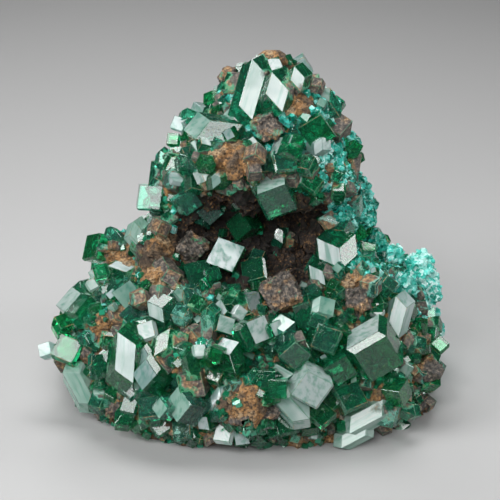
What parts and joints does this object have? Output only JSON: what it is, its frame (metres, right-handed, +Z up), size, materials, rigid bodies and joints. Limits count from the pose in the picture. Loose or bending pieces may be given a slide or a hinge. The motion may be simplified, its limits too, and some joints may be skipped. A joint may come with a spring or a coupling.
{
  "type": "dioptase mineral specimen",
  "caption": "Free-standing cluster of emerald-green dioptase crystals on iron-stained matrix, hat shaped, with a dark hollow in front and a flat foot.",
  "frame": {"origin": "middle of the flat foot, under the middle of the specimen's box", "axes": "+Z up, -Y towards the side with the hollow, +X to the right seen from the front and along the longest extent"},
  "size_m": [0.0584, 0.0488, 0.0492],
  "materials": {
    "matrix": "rough limonitic rock with orange-tan iron oxide in its seams",
    "dioptase": "clear emerald-green crystal with flat glossy faces, dusted with iron oxide in places",
    "druse": "fine sparkling turquoise-green crystal crust",
    "hollow_lining": "dark brown crust with small dark green crystals"
  },
  "bodies": {
    "root": {"matrix_rock": "matrix", "peak_crust": "dioptase", "band_crust": "dioptase", "flank_crust": "druse", "hollow_crust": "hollow_lining"}
  },
  "joints": []
}
